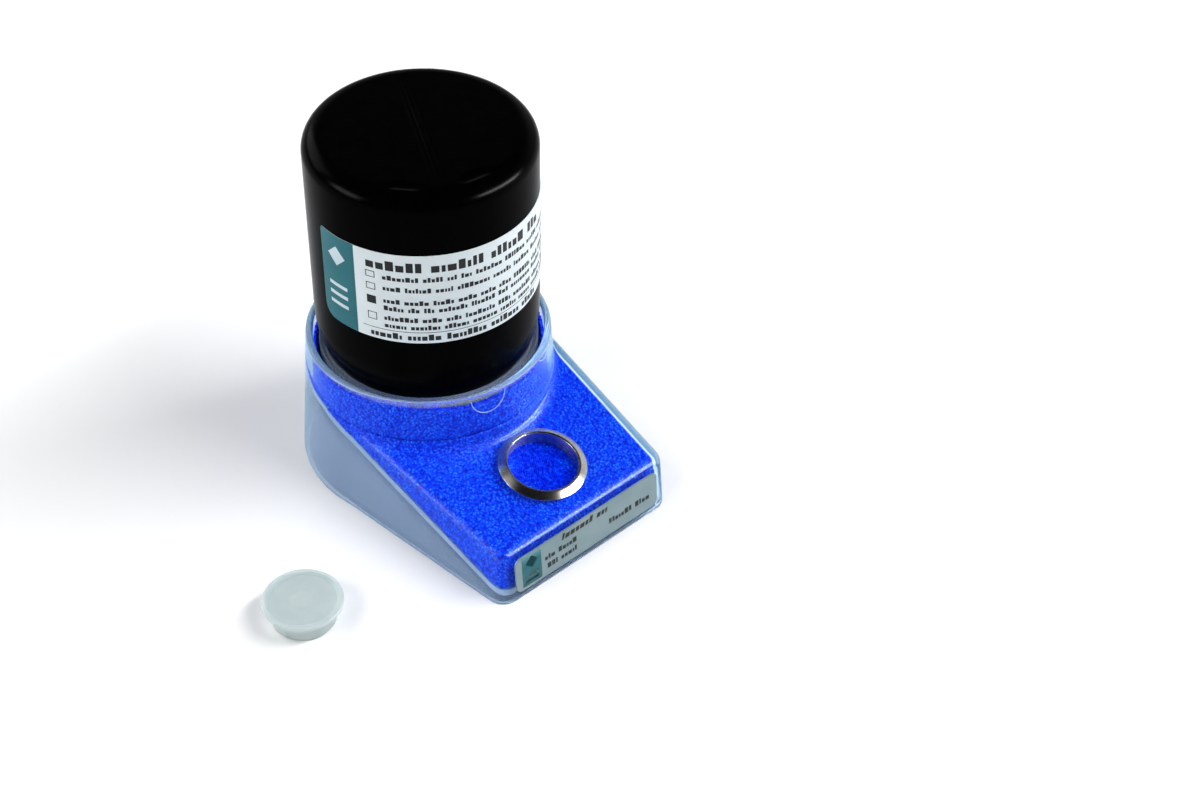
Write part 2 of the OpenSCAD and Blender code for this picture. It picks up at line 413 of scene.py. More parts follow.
TEAL = film("teal_print", (0.008, 0.13, 0.16), (0.012, 0.155, 0.185), 0.4)
INK = film("black_ink", (0.006, 0.007, 0.009), (0.012, 0.013, 0.016), 0.45)
PALE_INK = film("pale_print", (0.5, 0.6, 0.64), (0.58, 0.66, 0.7), 0.42)

# ---------------------------------------------------------------- mesh helpers


def make(name, points, faces, material, body, sharp=None):
    """An object from points in millimetres, riding on a body. sharp is an angle in degrees."""
    mesh = bpy.data.meshes.new(name)
    mesh.from_pydata((np.asarray(points, float) * MM).tolist(), [], [tuple(f) for f in faces])
    mesh.polygons.foreach_set("use_smooth", [True] * len(mesh.polygons))
    if sharp is not None:
        mesh.set_sharp_from_angle(angle=math.radians(sharp))
    mesh.materials.append(material)
    mesh.validate()
    piece = bpy.data.objects.new(name, mesh)
    bpy.context.scene.collection.objects.link(piece)
    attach(piece, body)
    return piece


def round_and(a, b, r):
    """Where two fields meet, their common part with an edge rounded to r."""
    return np.minimum(np.maximum(a, b), -r) + np.hypot(np.maximum(a + r, 0), np.maximum(b + r, 0))


def round_or(a, b, r):
    """Both fields together, with a fillet of radius r between them."""
    return np.maximum(np.minimum(a, b), r) - np.hypot(np.maximum(r - a, 0), np.maximum(r - b, 0))


def slope(field, p, h=0.05):
    """Gradient of a field at points."""
    columns = []
    for axis in range(3):
        step = np.zeros(3)
        step[axis] = h
        columns.append((field(*(p + step).T) - field(*(p - step).T)) / (2 * h))
    return np.stack(columns, 1)


def surface_net(field, low, high, step):
    """Quad mesh of a field's zero surface. The field is negative inside."""
    axes = [np.arange(low[i], high[i] + step, step) for i in range(3)]
    value = field(*np.meshgrid(*axes, indexing="ij"))
    cells = tuple(n - 1 for n in value.shape)
    total = np.zeros(cells + (3,))
    count = np.zeros(cells, int)
    crossings = []
    for axis in range(3):
        near = [slice(None)] * 3
        far = [slice(None)] * 3
        near[axis] = slice(0, -1)
        far[axis] = slice(1, None)
        a, b = value[tuple(near)], value[tuple(far)]
        cross = (a < 0) != (b < 0)
        share = np.where(cross, a / np.where(cross, a - b, 1), 0)
        crossings.append((cross, a < 0))
        u, w = (axis + 1) % 3, (axis + 2) % 3
        for du in (0, 1):
            for dw in (0, 1):
                part = [slice(None)] * 3
                part[u] = slice(du, du + cells[u])
                part[w] = slice(dw, dw + cells[w])
                here = cross[tuple(part)]
                count += here
                total[..., axis] += share[tuple(part)]
                total[..., u] += du * here
                total[..., w] += dw * here
    active = count > 0
    index = np.full(cells, -1)
    index[active] = np.arange(active.sum())
    points = np.array(low) + step * (np.argwhere(active) + total[active] / count[active][:, None])
    quads = []
    for axis, (cross, inside) in enumerate(crossings):
        u, w = (axis + 1) % 3, (axis + 2) % 3
        at = np.argwhere(cross)
        at = at[(at[:, u] > 0) & (at[:, w] > 0) & (at[:, u] < cells[u]) & (at[:, w] < cells[w])]
        eu, ew = np.eye(3, dtype=int)[u], np.eye(3, dtype=int)[w]
        quad = np.stack([index[tuple((at - s).T)] for s in (eu + ew, ew, 0 * eu, eu)], 1)
        flip = ~inside[tuple(at.T)]
        quad[flip] = quad[flip][:, ::-1]
        quads.append(quad)
    quads = np.concatenate(quads)
    edges = np.concatenate([quads[:, [k, (k + 1) % 4]] for k in range(4)])
    edges = np.concatenate([edges, edges[:, ::-1]])
    neighbours = np.bincount(edges[:, 0], minlength=len(points))
    for relax in (0, 0.5, 0.5, 0.5):
        around = np.stack(
            [np.bincount(edges[:, 0], points[edges[:, 1], k], len(points)) for k in range(3)], 1
        )
        points += relax * (around / neighbours[:, None] - points)
        for _ in range(2):
            g = slope(field, points)
            move = g * (field(*points.T) / np.maximum((g * g).sum(1), 1e-6))[:, None]
            points -= np.clip(move, -step / 2, step / 2)
    return points, quads


def smooth_normals(piece, field, points):
    """Takes a piece's shading normals from the field that made it."""
    g = slope(field, points)
    normals = g / np.linalg.norm(g, axis=1)[:, None]
    piece.data.normals_split_custom_set_from_vertices(normals.tolist())


def fillet(corners, steps=6):
    """Profile points from corners (r, z, rounding radius)."""
    points = []
    for i, (r, z, radius) in enumerate(corners):
        here = Vector((r, z))
        if not radius or i in (0, len(corners) - 1):
            points.append((r, z))
            continue
        to_last = (Vector(corners[i - 1][:2]) - here).normalized()
        to_next = (Vector(corners[i + 1][:2]) - here).normalized()
        half = to_last.angle(to_next) / 2
        centre = here + (to_last + to_next).normalized() * radius / math.sin(half)
        first = here + to_last * radius / math.tan(half) - centre
        last = here + to_next * radius / math.tan(half) - centre
        turn = first.angle_signed(last)
        for k in range(steps + 1):
            spoke = first.copy()
            spoke.rotate(Matrix.Rotation(-turn * k / steps, 2))
            points.append(tuple(centre + spoke))
    return points


def arc(cx, cz, rx, rz, start_deg, end_deg, steps):
    """Points of an ellipse's arc."""
    angles = [math.radians(start_deg + (end_deg - start_deg) * k / steps) for k in range(steps + 1)]
    return [(cx + rx * math.cos(a), cz + rz * math.sin(a)) for a in angles]


def lathe(profile, segments, where=None, relief=None):
    """Points and faces of a revolved profile. Points on the axis close it."""
    points, faces, rings = [], [], []
    for r, z in profile:
        if r < 1e-6:
            rings.append([len(points)])
            points.append((0, 0, z))
            continue
        rings.append(list(range(len(points), len(points) + segments)))
        for k in range(segments):
            a = 2 * math.pi * k / segments
            points.append((r * math.cos(a), r * math.sin(a), z))
    closed = profile[0][0] > 1e-6 and profile[-1][0] > 1e-6
    pairs = list(zip(rings, rings[1:])) + ([(rings[-1], rings[0])] if closed else [])
    for low, high in pairs:
        for k in range(segments):
            n = (k + 1) % segments
            face = [low[k % len(low)], low[n % len(low)], high[n % len(high)], high[k % len(high)]]
            faces.append(list(dict.fromkeys(face)))
    if relief is not None:
        points = [(x, y, z + relief(x, y, z)) for x, y, z in points]
    if where is not None:
        points = [tuple(where @ Vector(p)) for p in points]
    return points, faces


# ---------------------------------------------------------------- clear tray


def plan_distance(x, y):
    """Distance outside the tray's outline at the table: a round back joined to two round corners."""
    ax = np.abs(x)
    cos, sin = math.cos(-LEAN), math.sin(-LEAN)
    side = cos * (ax - CORNER_X) + sin * (y - CORNER_Y) - CORNER_R
    flat = np.maximum(side, -y - FRONT)
    around_corner = np.degrees(np.arctan2(y - CORNER_Y, ax - CORNER_X))
    in_corner = (around_corner > -90) & (around_corner < -math.degrees(LEAN))
    corner = np.hypot(ax - CORNER_X, y - CORNER_Y) - CORNER_R
    around_back = np.degrees(np.arctan2(y, ax))
    back = np.hypot(x, y) - TRAY_R
    return np.where(around_back > -math.degrees(LEAN), back, np.where(in_corner, corner, flat))


def tray_parts(x, y, z):
    """Side, deck and collar distances of the tray's outer surface."""
    side = (plan_distance(x, y) + DRAFT * z) * UPRIGHT
    deck = (z - DECK_FRONT_Z - math.tan(DECK_ANGLE) * (y + FRONT)) * math.cos(DECK_ANGLE)
    collar = (np.hypot(x, y) - TRAY_R + DRAFT * z) * UPRIGHT
    return side, deck, collar


def tray_body(x, y, z):
    side, deck, collar = tray_parts(x, y, z)
    blend = FILLET_R * np.clip(-side / FILLET_FADE, 0.02, 1)
    return round_or(round_and(side, deck, EDGE_R), round_and(collar, z - RIM_Z, RIM_R), blend)


def tray_cavity(x, y, z, inset=WALL):
    side, deck, collar = tray_parts(x, y, z)
    blend = (FILLET_R + inset) * np.clip(-side / FILLET_FADE, 0.02, 1)
    return round_or(round_and(side + inset, deck + inset, INNER_EDGE_R), collar + inset, blend)


RING_FRAME = on_deck(0, RING_Y)
RING_AXIS = RING_FRAME.to_3x3() @ Vector((0, 0, 1))


def from_ring(x, y, z):
    """Distance from the ring's axis, and height above the deck at the ring."""
    dy, dz = y - RING_Y, z - deck_z(RING_Y)
    height = dy * RING_AXIS.y + dz * RING_AXIS.z
    across = dy * RING_AXIS.z - dz * RING_AXIS.y
    return np.hypot(x, across), height


def tray_shell(x, y, z):
    shell = round_and(tray_body(x, y, z), -tray_cavity(x, y, z), RIM_R)
    shell = round_and(shell, -z, FOOT_R)
    reach, _ = from_ring(x, y, z)
    return round_and(shell, SLEEVE_R - reach, HOLE_EDGE_R)


def housing():
    low = (-TRAY_R - 2.03, -FRONT - 2.07, -2.11)  # uneven margins keep flat faces off the grid
    high = (TRAY_R + 2, TRAY_R + 2, RIM_Z + 2)
    points, quads = surface_net(tray_shell, low, high, GRID)
    points[:, 2] = np.maximum(points[:, 2], 0)
    piece = make("housing", points, quads, HOUSING, "tray")
    smooth_normals(piece, tray_shell, points)
    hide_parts("housing_shell")


housing()


def tube(points, faces, path, radius, sides=8):
    """Adds a thin closed tube along a path of points."""
    first = len(points)
    for k, p in enumerate(path):
        ahead = (path[min(k + 1, len(path) - 1)] - path[max(k - 1, 0)]).normalized()
        out = Vector((p.x, p.y, 0)).normalized()
        side = ahead.cross(out).normalized()
        for i in range(sides):
            a = 2 * math.pi * i / sides
            points.append(tuple(p + radius * (math.cos(a) * out + math.sin(a) * side)))
    for k in range(len(path) - 1):
        for i in range(sides):
            n = (i + 1) % sides
            row = first + k * sides
            faces.append((row + i, row + n, row + sides + n, row + sides + i))
    faces.append(tuple(range(first, first + sides))[::-1])
    faces.append(tuple(range(len(points) - sides, len(points))))


MARK_R = 5.0
MARK_LINE_R = 0.13
MARK_TOP = RIM_Z - 0.9
MARKS_AT = ((-101.6, 39.4), (-61, 42.6))  # angle about the bottle's axis, and height


def gate_marks():
    """Two round moulding marks on the collar, as fine raised lines cut off by the rim."""
    points, faces = [], []
    for angle, height in MARKS_AT:
        path = []
        for k in range(91):
            a = math.radians(90 + 4 * k)
            z = height + MARK_R * math.sin(a)
            if z > MARK_TOP:
                continue
            reach = TRAY_R - DRAFT * z - 0.02
            turn = math.radians(angle) + MARK_R * math.cos(a) / reach
            path.append(Vector((reach * math.cos(turn), reach * math.sin(turn), z)))
        tube(points, faces, path, MARK_LINE_R)
    make("gate_marks", points, faces, MARKS, "tray")


gate_marks()

# ---------------------------------------------------------------- wax beads


def heap_in_tray(x, y, z):
    chute = (CHUTE_FRONT_Z + math.tan(CHUTE_ANGLE) * (y + FRONT) - z) * math.cos(CHUTE_ANGLE)
    reach, height = from_ring(x, y, z)
    well = np.maximum(reach - SLEEVE_R, -WELL_DEPTH - height)
    inside = tray_cavity(x, y, z, WALL + BEAD_GAP)
    posts = np.hypot(np.abs(x) - POST_X, y - POST_Y) - POST_HOLE_R
    shelf = z - SHELF_Z
    return np.maximum.reduce([inside, chute + BEAD_CLEARANCE, shelf + BEAD_CLEARANCE, -well, -posts])


HEAP_LEVEL = 36.7
HEAP_WAVES = ((0.5, 2, 0.6), (0.35, 5, 2), (0.2, 11, 0))  # height, count around the collar, phase


def heap_top(angle):
    """Uneven top of the beads in the gap around the adapter."""
    return HEAP_LEVEL + sum(height * np.sin(angle * count + phase) for height, count, phase in HEAP_WAVES)


ADAPTER_GAP = 0.3  # between the beads and the adapter
UNEVEN = 0.16  # depth of the heaps' uneven surface


def heap_in_collar(x, y, z):
    reach = np.hypot(x, y)
    wall = (reach - TRAY_R + WALL + BEAD_GAP + DRAFT * z) * UPRIGHT
    top = z - heap_top(np.arctan2(y, x))
    return np.maximum.reduce([wall, ADAPTER_R + ADAPTER_GAP - reach, SHELF_Z + BEAD_CLEARANCE - z, top])


def heap(name, node, field, low, high, seed):
    """A solid heap of beads from a field, with an uneven surface."""
    points, quads = surface_net(field, low, high, GRID)
    g = slope(field, points)
    normals = g / np.maximum(np.linalg.norm(g, axis=1), 1e-6)[:, None]
    rough = np.random.default_rng(seed).uniform(0, UNEVEN, len(points))
    points -= normals * rough[:, None]
    piece = make(name, points, quads, WAX, "tray")
    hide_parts(node)


heap(
    "wax_in_tray", "tray_wax", heap_in_tray,
    (-TRAY_R, -FRONT - 0.5, 1), (TRAY_R, 18, SHELF_Z + 1), 1,
)
heap(
    "wax_in_collar", "collar_wax", heap_in_collar,
    (-TRAY_R, -TRAY_R, SHELF_Z - 1), (TRAY_R, TRAY_R, 39), 2,
)


def loose_beads(name, centres, seed):
    """Separate beads of slightly uneven size at the given centres."""
    draw = random.Random(seed)
    ball = bmesh.new()
    bmesh.ops.create_icosphere(ball, subdivisions=2, radius=1)
    shape = np.array([v.co for v in ball.verts])
    faces = np.array([[v.index for v in f.verts] for f in ball.faces])
    ball.free()
    points, all_faces = [], []
    for i, centre in enumerate(centres):
        size = BEAD_R * draw.uniform(0.82, 1.12)
        about_z, about_x = draw.uniform(0, 6.28), draw.uniform(0, 6.28)
        turn = Matrix.Rotation(about_z, 3, "Z") @ Matrix.Rotation(about_x, 3, "X")
        points.append(shape @ np.array(turn).T * size + np.array(centre))
        all_faces.append(faces + i * len(shape))
    make(name, np.concatenate(points), np.concatenate(all_faces), WAX_BEAD, "tray")


WELL_PITCH = 0.64  # between neighbouring beads in the well
WELL_SHIFT = 0.13  # how far a bead may lie from its place, sideways
WELL_RISE = 0.16  # and up or down
WELL_TOP = -2.95  # no bead's centre lies higher than this, below the deck's plane
GAP_BEADS = 1000


def beads_in_well():
    """Separate beads in staggered rows over the floor of the ring's well."""
    draw = random.Random(3)
    centres = []
    count = int(SLEEVE_R / WELL_PITCH) + 1
    for i in range(-count, count + 1):
        for j in range(-count - 4, count + 5):
            x = (i + 0.5 * (j % 2)) * WELL_PITCH + draw.uniform(-WELL_SHIFT, WELL_SHIFT)
            y = j * WELL_PITCH * 0.87 + draw.uniform(-WELL_SHIFT, WELL_SHIFT)
            if math.hypot(x, y) < SLEEVE_R - BEAD_R - 0.05:
                mound = 0.25 * math.sin(x * 0.5 + 1) + 0.2 * math.sin(y * 0.7)
                z = -WELL_DEPTH + BEAD_CLEARANCE + mound + draw.uniform(-WELL_RISE, WELL_RISE)
                centres.append(tuple(RING_FRAME @ Vector((x, y, min(z, WELL_TOP)))))
    loose_beads("beads_under_ring", centres, 4)


def beads_in_gap():
    """Separate beads scattered over the top of the heap around the adapter."""
    draw = random.Random(5)
    centres = []
    for _ in range(GAP_BEADS):
        a = draw.uniform(-math.pi, math.pi)
        top = float(heap_top(np.array(a)))
        outer = TRAY_R - WALL - DRAFT * top - BEAD_R - 0.15
        r = draw.uniform(ADAPTER_R + BEAD_R + 0.35, outer)
        centres.append((r * math.cos(a), r * math.sin(a), top + draw.uniform(-0.15, 0.45)))
    loose_beads("beads_around_adapter", centres, 6)


beads_in_well()
beads_in_gap()

# ---------------------------------------------------------------- access ring

FLANGE_R = 12
LIP_Z = 1.3
SLEEVE_END = -3
sleeve_outside = SLEEVE_R - 0.05
ring_profile = fillet([
    (RING_BORE, SLEEVE_END, 0), (sleeve_outside, SLEEVE_END, 0.12), (sleeve_outside, 0.05, 0),
    (FLANGE_R, 0.05, 0.04), (FLANGE_R, 0.16, 0.06), (RING_BORE + 0.75, LIP_Z - 0.08, 0.1),
    (RING_BORE + 0.5, LIP_Z, 0.1), (RING_BORE, LIP_Z - 0.06, 0.12), (RING_BORE, -1, 0),
], 4)
points, faces = lathe(ring_profile, 192, RING_FRAME)
ring = make("steel_ring", points, faces, STEEL, "tray", 35)
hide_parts("access_ring")

# ---------------------------------------------------------------- bottle

THREAD_FIRST, THREAD_PITCH, THREAD_COUNT = 1.2, 2.2, 3  # first ridge above the mouth
# One ridge: height from its middle, and how far it stands out
RIDGE = ((-0.65, 0), (-0.3, 0.62), (0, 0.7), (0.3, 0.62), (0.65, 0))
NECK_TOP = 35.4
SHOULDER_END = 50  # where the shoulder has turned into the side
SHOULDER_H = 14.6
BASE_EDGE_R = 5
PARTING_ANGLE = math.radians(62.5)
PARTING_LINES = ((0, 0.14), (1.2, 0.09))  # distance from the bottle's middle, and depth
PARTING_WIDTH = 0.4
PARTING_END = 27
CRESCENTS_AT = (-138.5, -96)
CRESCENT_R = 24.2
CRESCENT_CURVE = 0.05
CRESCENT_HALF_LENGTH, CRESCENT_HALF_WIDTH, CRESCENT_DEPTH = 5.8, 1.9, 0.5
BASE_RING_STEP = 0.3


def thread(inset):
    """Three ridges on the outside of the neck, and none on the inside."""
    if inset:
        return []
    rows = [MOUTH_Z + THREAD_FIRST + THREAD_PITCH * k for k in range(THREAD_COUNT)]
    return [(NECK_R + out, z + rise) for z in rows for rise, out in RIDGE]


def bottle_side(inset):
    """The bottle's outline from its mouth to the edge of its base."""
    shoulder_r = BOTTLE_R - NECK_R + 0.6
    base_r = BASE_EDGE_R - inset
    return (
        [(NECK_R - inset, MOUTH_Z)] + thread(inset) + [(NECK_R - inset, NECK_TOP + inset / 2)]
        + arc(NECK_R - 0.6, SHOULDER_END, shoulder_r - inset, SHOULDER_H - inset / 2, -84, 0, 20)
        + arc(BOTTLE_R - BASE_EDGE_R, BOTTLE_TOP - BASE_EDGE_R, base_r, base_r, 0, 90, 14)
    )


def base_relief(x, y, z):
    """Parting line and two crescent recesses on the upturned base."""
    if z < BOTTLE_TOP - 3:
        return 0
    r = math.hypot(x, y)
    off_line = abs(x * math.sin(PARTING_ANGLE) - y * math.cos(PARTING_ANGLE))
    height = 0.0
    if r < PARTING_END:
        for line, depth in PARTING_LINES:
            height -= depth * math.exp(-(((off_line - line) / PARTING_WIDTH) ** 2))
    for middle in CRESCENTS_AT:
        turn = (math.degrees(math.atan2(y, x)) - middle + 180) % 360 - 180
        length = math.radians(turn) * (BOTTLE_R - BASE_EDGE_R)
        out = r - CRESCENT_R - length * length * CRESCENT_CURVE
        depth = max(0.0, 1 - (length / CRESCENT_HALF_LENGTH) ** 2)
        depth *= max(0.0, 1 - (out / CRESCENT_HALF_WIDTH) ** 2)
        height -= CRESCENT_DEPTH * depth * depth * (3 - 2 * depth)
    return height


base_rings = [(r, BOTTLE_TOP) for r in np.arange(24.7, BASE_RING_STEP, -BASE_RING_STEP)]
outline = bottle_side(0) + base_rings + [(0, BOTTLE_TOP), (0, BOTTLE_TOP - BOTTLE_WALL)]
outline += bottle_side(BOTTLE_WALL)[::-1]
points, faces = lathe(outline, 288, None, base_relief)
bottle = make("bottle", points, faces, BLACK, "bottle", 40)
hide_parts("bottle_body")

# ---------------------------------------------------------------- label and print


def band(points, faces, radius, thick, columns):
    """Adds a thin curved solid on the bottle. columns are (angle in degrees, low z, high z)."""
    first = len(points)
    for angle, low, high in columns:
        a = math.radians(angle)
        for r in (radius, radius + thick):
            for z in (low, high):
                points.append((r * math.cos(a), r * math.sin(a), z))
    for k in range(len(columns) - 1):
        n = first + 4 * k
        for a, b in ((0, 1), (1, 3), (3, 2), (2, 0)):
            faces.append((n + a, n + b, n + 4 + b, n + 4 + a))
    faces.append((first, first + 2, first + 3, first + 1))
    last = first + 4 * (len(columns) - 1)
    faces.append((last, last + 1, last + 3, last + 2))


PRINT_T = 0.02  # thickness of the ink


def bar(points, faces, radius, start_deg, width, low, high):
    """A printed bar of the given width in millimetres along the label."""
    end = start_deg + math.degrees(width / BOTTLE_R)
    steps = max(1, round((end - start_deg) / 2))
    columns = [(start_deg + (end - start_deg) * k / steps, low, high) for k in range(steps + 1)]
    band(points, faces, radius, PRINT_T, columns)


label_low, label_high = box_mm("bottle_label")
LABEL_Z = (label_low[2], label_high[2])
LABEL_START, LABEL_SWEEP = -187.0, 322.0  # angles about the bottle's axis, in degrees
LABEL_R = BOTTLE_R + 0.02
LABEL_T = 0.13
PRINT_R = LABEL_R + 0.14
LABEL_CORNERS = (3.8, 0.9)  # rounding of the lower and the upper corners
COLUMN_STEP = 0.6  # degrees between the label's columns


def on_label(angle):
    """Millimetres along the label at an angle in degrees."""
    return math.radians(angle) * BOTTLE_R


def label_columns(start_deg, end_deg, round_end=True):
    """Columns of the label, with its corners rounded: widely at its lower edge, little at its upper."""
    columns = []
    count = int((end_deg - start_deg) / COLUMN_STEP)
    for k in range(count + 1):
        angle = start_deg + (end_deg - start_deg) * k / count
        edge = on_label(angle - start_deg)
        if round_end:
            edge = min(edge, on_label(end_deg - angle))
        cuts = [r - math.sqrt(max(r * r - max(0, r - edge) ** 2, 0.0)) for r in LABEL_CORNERS]
        columns.append((angle, LABEL_Z[0] + cuts[0], LABEL_Z[1] - cuts[1]))
    return columns


points, faces = [], []
band(points, faces, LABEL_R, LABEL_T, label_columns(LABEL_START, LABEL_START + LABEL_SWEEP))
label = make("label", points, faces, LABEL, "bottle", 50)
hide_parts("bottle_label")

PANEL_END = -164.3
PANEL_T = 0.01
points, faces = [], []
band(points, faces, PRINT_R, PANEL_T, label_columns(LABEL_START, PANEL_END, False))
make("label_panel", points, faces, TEAL, "bottle", 50)

# A plain lozenge and three level bars on the panel
PANEL_MID = -175.6
LOZENGE_Z, LOZENGE_HALF = 80.5, 3
EMBLEM_BARS_Z = (64.5, 67.5, 70.5)
EMBLEM_BAR_W, EMBLEM_BAR_H = 6.3, 1.1
points, faces = [], []
lozenge = []
for u in (-2.98, -1.5, 0, 1.5, 2.98):
    half = LOZENGE_HALF - abs(u)
    lozenge.append((PANEL_MID + math.degrees(u / BOTTLE_R), LOZENGE_Z - half, LOZENGE_Z + half))
band(points, faces, PRINT_R + PANEL_T, PRINT_T, lozenge)
for z in EMBLEM_BARS_Z:
    bar(points, faces, PRINT_R + PANEL_T, PANEL_MID - 6, EMBLEM_BAR_W, z, z + EMBLEM_BAR_H)
make("label_emblem", points, faces, PALE_INK, "bottle", 50)


def words(points, faces, add_bar, start_mm, end_mm, low, high, seed):
    """A row of short plain blocks in groups, in place of printed words."""
    draw = random.Random(seed)
    height = high - low
    at = start_mm
    while at < end_mm:
        for _ in range(draw.randint(3, 8)):
            width = height * draw.uniform(0.2, 0.5)
            tall = draw.random() < 0.3
            foot, top = low + 0.24 * height, high - (0.12 if tall else 0.32) * height
            add_bar(points, faces, at, width, foot, top)
            at += width + height * 0.12
            if at > end_mm:
                break
        at += height * 0.4


def label_bar(points, faces, at, width, low, high):
    bar(points, faces, PRINT_R, math.degrees(at / BOTTLE_R), width, low, high)


# Print on the label: angles in degrees, and lower and upper heights
TITLE = (-157.7, -59, 80.6, 85.2)
FOOTER = (-157, -62, 59.1, 62.1)
RULE = (-161, -40, 62.35, 62.5)
ROWS_START = -149.5
ROWS = ((78.1, 80.4), (74.7, 77.0), (70.7, 73.0), (68.3, 70.6), (65.1, 67.4), (62.7, 65.0))
BOXES_FROM, BOXES_TO = -158.1, -153.3
BOXES = (  # lower and upper height, and whether it is filled
    (78.6, 80.6, False), (74.7, 76.8, False), (70.2, 72.7, True), (65.0, 67.4, False),
)
BOX_LINE = 0.2
BACK_ROWS = (82.5, 76.5, 73.5, 70.5, 66, 63)  # a second block, on the side away from the title
BACK_START, BACK_END, BACK_ROW_H = -10, 60, 2.2


def label_words(start_deg, end_deg, low, high, seed):
    words(points, faces, label_bar, on_label(start_deg), on_label(end_deg), low, high, seed)


points, faces = [], []
label_words(*TITLE, 11)
for k, (low, high) in enumerate(ROWS):
    label_words(ROWS_START, -30 - 7 * (k % 3), low, high, 20 + k)
label_words(*FOOTER, 12)
bar(points, faces, PRINT_R, RULE[0], on_label(RULE[1]) - on_label(RULE[0]), RULE[2], RULE[3])
for low, high, filled in BOXES:
    left, right = on_label(BOXES_FROM), on_label(BOXES_TO)
    if filled:
        label_bar(points, faces, left, right - left, low, high)
        continue
    for z in (low, high - BOX_LINE):
        label_bar(points, faces, left, right - left, z, z + BOX_LINE)
    for x in (left, right - BOX_LINE):
        label_bar(points, faces, x, BOX_LINE, low, high)
for low in BACK_ROWS:
    label_words(BACK_START, BACK_END + low % 9, low, low + BACK_ROW_H, int(low * 10))
make("label_print", points, faces, INK, "bottle", 50)

# ---------------------------------------------------------------- front plate

plate_low, plate_high = box_mm("front_plate")
PLATE_W = plate_high[0] - plate_low[0]
PLATE_H = plate_high[2] - plate_low[2]
PLATE_MID_Z = (plate_high[2] + plate_low[2]) / 2
PLATE_T = 0.5
PLATE_CORNER_R = 2
PLATE_BEVEL = 0.12
PLATE_FRAME = (
    Matrix.Translation((0, -FRONT + DRAFT * PLATE_MID_Z - 0.02, PLATE_MID_Z))
    @ Matrix.Rotation(math.pi / 2 - math.atan(DRAFT), 4, "X")
)


def rounded_slab(points, faces, outline, low, high, bevel):
    """A slab from a convex outline, with a bevelled upper edge."""
    edge = np.array(outline)
    outward = edge - edge.mean(0)
    outward /= np.linalg.norm(outward, axis=1)[:, None]
    rings = []
    for z, inset in ((low, 0), (high - bevel, 0), (high, bevel)):
        rings.append(range(len(points), len(points) + len(outline)))
        points.extend([(x, y, z) for x, y in edge - inset * outward])
    for a, b in zip(rings, rings[1:]):
        for k in range(len(outline)):
            n = (k + 1) % len(outline)
            faces.append((a[k], a[n], b[n], b[k]))
    faces.append(tuple(rings[0])[::-1])
    faces.append(tuple(rings[-1]))


def rounded_outline(half_w, half_h, r):
    """A rectangle about the origin with rounded corners."""
    x, y = half_w - r, half_h - r
    corners = ((x, y, 0), (-x, y, 90), (-x, -y, 180), (x, -y, 270))
    return [p for cx, cy, a in corners for p in arc(cx, cy, r, r, a, a + 90, 6)]


def on_plate(points):
    """Points on the plate, with +Z out of it, brought into the scene."""
    return [tuple(PLATE_FRAME @ Vector(p)) for p in points]


points, faces = [], []
plate_outline = rounded_outline(PLATE_W / 2, PLATE_H / 2, PLATE_CORNER_R)
rounded_slab(points, faces, plate_outline, 0, PLATE_T, PLATE_BEVEL)
plate = make("plate", on_plate(points), faces, SILVER, "tray", 30)
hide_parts("front_plate")


def plate_print(name, material, shapes):
    """Printed shapes on the plate, as one thin piece."""
    points, faces = [], []
    for outline in shapes:
        rounded_slab(points, faces, outline, PLATE_T + 0.005, PLATE_T + 0.03, 0.005)
    make(name, on_plate(points), faces, material, "tray", 50)


def box_outline(x0, y0, x1, y1, lean=0.0):
    """A box that leans like slanted print."""
    return [(x0 + lean * y0, y0), (x1 + lean * y0, y0), (x1 + lean * y1, y1), (x0 + lean * y1, y1)]


def block_row(x0, x1, low, high, seed, lean=0.0):
    """A row of plain blocks from x0 to x1."""
    shapes = []

    def add_block(_points, _faces, at, width, z0, z1):
        shapes.append(box_outline(at, z0, at + width, z1, lean))

    words(None, None, add_block, x0, x1, low, high, seed)
    return shapes


# Print on the plate: corners and rows in millimetres from the plate's middle
plate_print("plate_panel", TEAL, [box_outline(-23.1, -4.8, -16.5, 5.5)])
plate_print("plate_emblem", PALE_INK, [
    [(-21.9, 2.6), (-19.8, 0.5), (-17.7, 2.6), (-19.8, 4.7)],
    box_outline(-22, -2, -17.6, -1.2), box_outline(-22, -3.8, -17.6, -3.0),
])
plate_print(
    "plate_print", INK,
    block_row(-15.2, -4.6, -0.9, 1.7, 31) + block_row(-14.5, -4.6, -3.9, -1.3, 32)
    + block_row(-10, 5.6, 2.2, 5.4, 33, 0.25) + block_row(7.5, 21, -2.6, 0.2, 34),
)

# ---------------------------------------------------------------- stopper

stopper_low, stopper_high = box_mm("stopper")
stopper_mid = (stopper_low + stopper_high) / 2
flange_r, plug_top = stopper_mid[0] - stopper_low[0], stopper_high[2]
# From the middle of the foot, up the plug, around the flange and in over the dished top
stopper_profile = fillet([
    (0, 0.35, 0), (6.9, 0.35, 0.2), (7.3, 0, 0.15), (8.4, 0, 0.4), (9.2, plug_top - 1.5, 0.25),
    (flange_r, plug_top - 1.35, 0.25), (flange_r, plug_top - 0.1, 0.35), (flange_r - 1.1, plug_top, 0.35),
    (flange_r - 1.9, plug_top - 0.55, 0.35), (3.2, plug_top - 0.75, 0.4), (2.6, plug_top - 0.6, 0.3),
    (0, plug_top - 0.55, 0),
], 5)
points, faces = lathe(stopper_profile, 160, Matrix.Translation((stopper_mid[0], stopper_mid[1], 0)))
plug = make("stopper_plug", points, faces, STOPPER, "stopper", 50)
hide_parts("stopper")

# ---------------------------------------------------------------- CAD nodes that stay

